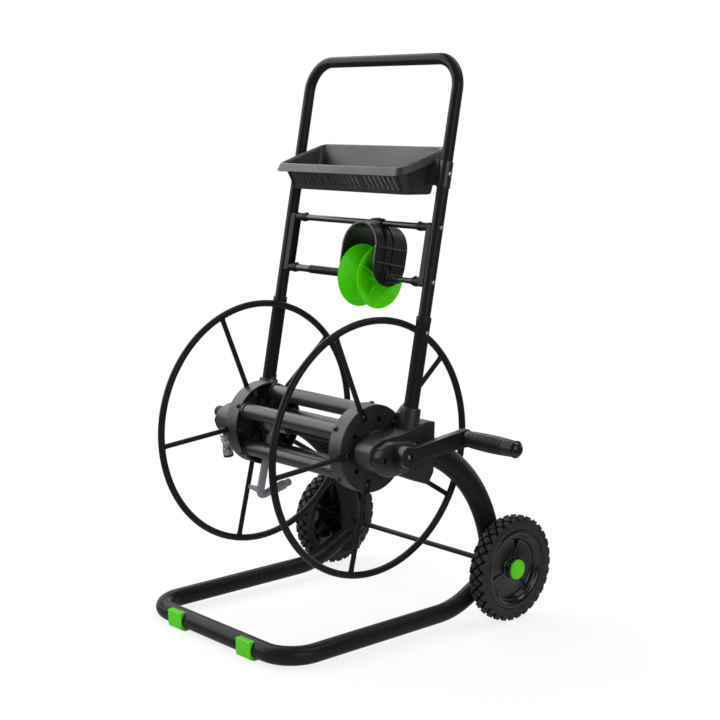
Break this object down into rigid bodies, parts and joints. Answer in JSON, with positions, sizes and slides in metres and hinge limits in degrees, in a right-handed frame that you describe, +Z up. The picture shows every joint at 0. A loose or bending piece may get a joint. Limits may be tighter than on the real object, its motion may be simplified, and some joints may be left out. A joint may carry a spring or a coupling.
{
  "type": "hose reel cart",
  "caption": "Two-wheeled garden hose reel cart: bent steel tube frame, crank-driven drum, sliding hose guide with a roller, open tool tray and push handle.",
  "frame": {"origin": "middle of the bounding box's footprint, on the ground", "axes": "+Z up; +Y towards the wheels; +X towards the crank, along the reel's axis"},
  "size_m": [0.7214, 0.6622, 1.1168],
  "materials": {
    "black_steel": "semi-gloss powder coat",
    "drum_steel": "satin",
    "black_plastic": "matte, fine grain",
    "green_plastic": "semi-gloss",
    "gloss_plastic": "gloss",
    "tyre_rubber": "matte",
    "nickel": "nickel plated, satin",
    "grey_plastic": "satin"
  },
  "bodies": {
    "chassis": {"base_frame": "black_steel", "arch_left": "black_steel", "arch_right": "black_steel", "wheel_axle": "black_steel", "foot_clip_left": "green_plastic", "foot_clip_right": "green_plastic", "hub_bracket_left": "black_plastic", "hub_bracket_right": "black_plastic", "bearing_cover_left": "black_plastic", "bearing_cover_right": "black_plastic", "lower_upright_left": "black_steel", "lower_upright_right": "black_steel", "middle_upright_left": "black_steel", "middle_upright_right": "black_steel", "handle_tube": "black_steel", "tray": "black_plastic", "tray_collar_left": "black_plastic", "tray_collar_right": "black_plastic", "guide_bracket_left": "black_plastic", "guide_bracket_right": "black_plastic", "upper_guide_rod": "black_steel", "ribbed_guide_bar": "black_plastic"},
    "reel": {"hub_disc_left": "black_plastic", "hub_disc_right": "black_plastic", "drum_tube_1": "drum_steel", "drum_tube_2": "drum_steel", "drum_tube_3": "drum_steel", "drum_tube_4": "drum_steel", "drum_tube_5": "drum_steel", "side_ring_left": "black_steel", "side_ring_right": "black_steel", "reel_shaft": "nickel", "outlet_pipe": "grey_plastic", "outlet_connector": "grey_plastic", "crank_arm": "black_plastic", "grip_spindle": "nickel"},
    "grip": {"crank_grip": "black_plastic", "crank_grip_cap": "gloss_plastic"},
    "hose_guide": {"guide_hood": "black_plastic"},
    "roller": {"guide_roller": "green_plastic"},
    "inlet": {"inlet_swivel": "nickel", "inlet_connector": "nickel"},
    "wheel_left": {"wheel_tyre_left": "tyre_rubber", "wheel_rim_left": "gloss_plastic", "wheel_cap_left": "green_plastic"},
    "wheel_right": {"wheel_tyre_right": "tyre_rubber", "wheel_rim_right": "gloss_plastic", "wheel_cap_right": "green_plastic"}
  },
  "joints": [
    {"name": "reel_spin", "type": "hinge", "parent": "chassis", "child": "reel", "pos_m": [-0.04825, -0.07215, 0.3737], "axis": [1, 0, 0], "continuous": true},
    {"name": "grip_spin", "type": "hinge", "parent": "reel", "child": "grip", "pos_m": [-0.04825, 0.07785, 0.3905], "axis": [1, 0, 0], "continuous": true},
    {"name": "guide_slide", "type": "slide", "parent": "chassis", "child": "hose_guide", "axis": [1, 0, 0], "range_m": [-0.1717, 0.0703]},
    {"name": "roller_spin", "type": "hinge", "parent": "hose_guide", "child": "roller", "pos_m": [0.00245, 0.02663, 0.68587], "axis": [1, 0, 0], "continuous": true},
    {"name": "inlet_turn", "type": "hinge", "parent": "chassis", "child": "inlet", "pos_m": [-0.34825, -0.07215, 0.3737], "axis": [1, 0, 0], "continuous": true},
    {"name": "wheel_left_spin", "type": "hinge", "parent": "chassis", "child": "wheel_left", "pos_m": [-0.31405, 0.22325, 0.1078], "axis": [1, 0, 0], "continuous": true},
    {"name": "wheel_right_spin", "type": "hinge", "parent": "chassis", "child": "wheel_right", "pos_m": [0.21755, 0.22325, 0.1078], "axis": [1, 0, 0], "continuous": true}
  ]
}
